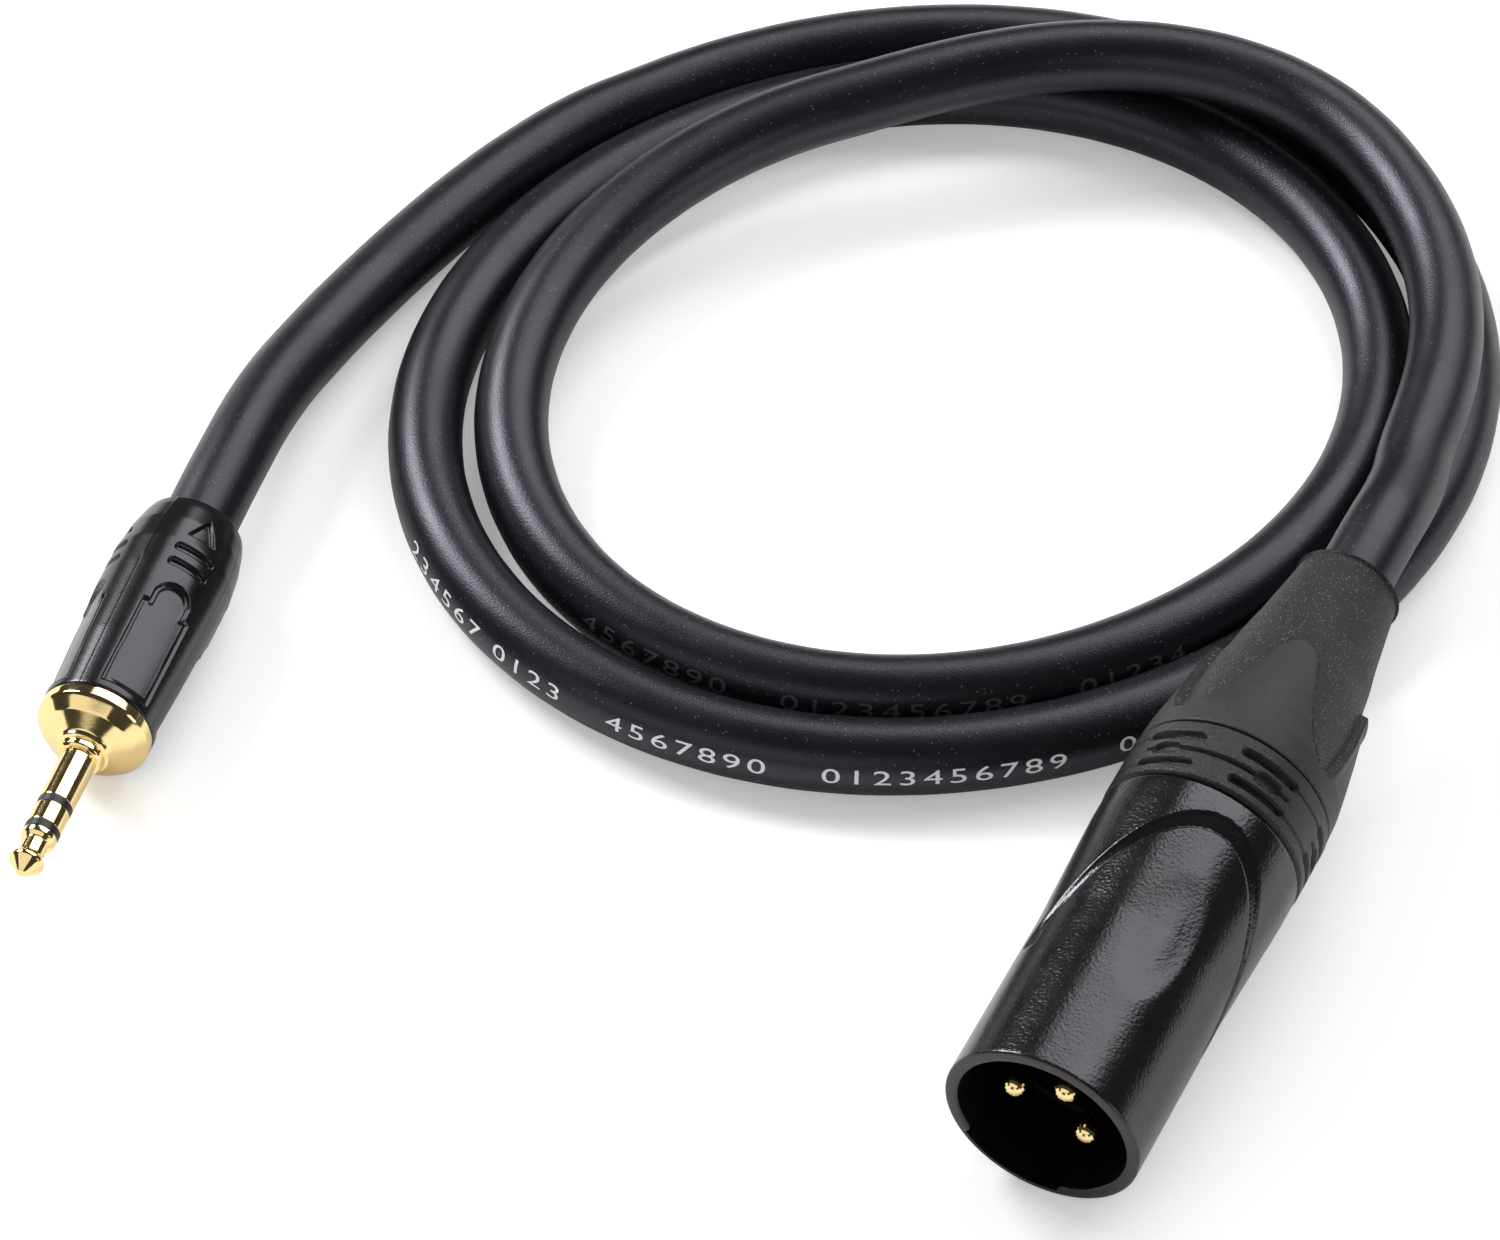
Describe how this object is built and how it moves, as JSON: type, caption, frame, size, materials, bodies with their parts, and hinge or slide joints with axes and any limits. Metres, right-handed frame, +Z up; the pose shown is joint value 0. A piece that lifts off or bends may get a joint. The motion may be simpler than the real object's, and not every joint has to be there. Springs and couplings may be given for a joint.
{
  "type": "coiled audio adaptor cable",
  "caption": "Short thick cable lying in a loose coil, with a slim three-pole 3.5 mm plug at one end and a three-pin male XLR connector with a flexible boot at the other.",
  "frame": {"origin": "under the middle of the two connectors, on the surface that the object lies on", "axes": "+Z up; +Y along the XLR connector, from its mouth to its boot; +X from the plug to the XLR connector"},
  "size_m": [0.1242, 0.1589, 0.0214],
  "materials": {
    "jacket": "satin",
    "gold_plate": "polished",
    "black_shell": "gloss",
    "black_plastic": "matte",
    "gloss_plastic": "satin",
    "soft_boot": "matte",
    "natural_plastic": "matte",
    "tinned_metal": "satin",
    "red_core": "satin",
    "white_core": "satin",
    "copper_drain": "satin"
  },
  "bodies": {
    "cable_and_connectors": {"xlr_shell": "black_shell", "xlr_insert": "black_plastic", "xlr_pin_1": "gold_plate", "xlr_pin_2": "gold_plate", "xlr_pin_3": "gold_plate", "xlr_ground_ring": "tinned_metal", "xlr_solder": "tinned_metal", "xlr_core_red": "red_core", "xlr_core_white": "white_core", "xlr_drain": "copper_drain", "plug_tip": "gold_plate", "plug_ring": "gold_plate", "plug_body": "gold_plate", "plug_band_front": "black_plastic", "plug_band_rear": "black_plastic", "plug_washer": "natural_plastic", "plug_tip_lug": "tinned_metal", "plug_ring_lug": "tinned_metal", "plug_clamp": "gold_plate", "plug_core_red": "red_core", "plug_core_white": "white_core", "plug_solder": "tinned_metal", "cable_coil": "jacket", "plug_lead": "jacket", "xlr_lead": "jacket"},
    "strain_clamp": {"xlr_chuck": "natural_plastic"},
    "boot_nut": {"xlr_nut": "gloss_plastic", "xlr_collar": "gloss_plastic", "xlr_boot": "soft_boot"},
    "liner": {"plug_liner": "natural_plastic"},
    "barrel": {"plug_barrel": "black_shell"}
  },
  "joints": [
    {"name": "nut_travel", "type": "slide", "parent": "cable_and_connectors", "child": "strain_clamp", "axis": [0, 0.999, 0.0436], "range_m": [0, 0.004]},
    {"name": "nut_turn", "type": "hinge", "parent": "strain_clamp", "child": "boot_nut", "pos_m": [0.0508, 0.03144, 0.01211], "axis": [0, 0.999, 0.0436], "range_deg": [0, 1441]},
    {"name": "barrel_travel", "type": "slide", "parent": "cable_and_connectors", "child": "liner", "axis": [-0.1736, 0.9848, 0], "range_m": [0, 0.00375]},
    {"name": "barrel_turn", "type": "hinge", "parent": "liner", "child": "barrel", "pos_m": [-0.05378, -0.00683, 0.0062], "axis": [-0.1736, 0.9848, 0], "range_deg": [0, 1801]}
  ],
  "couplings": [
    {"joint": "nut_turn", "follows": "nut_travel", "rad_per_m": 6283.2},
    {"joint": "barrel_turn", "follows": "barrel_travel", "rad_per_m": 8377.6}
  ]
}
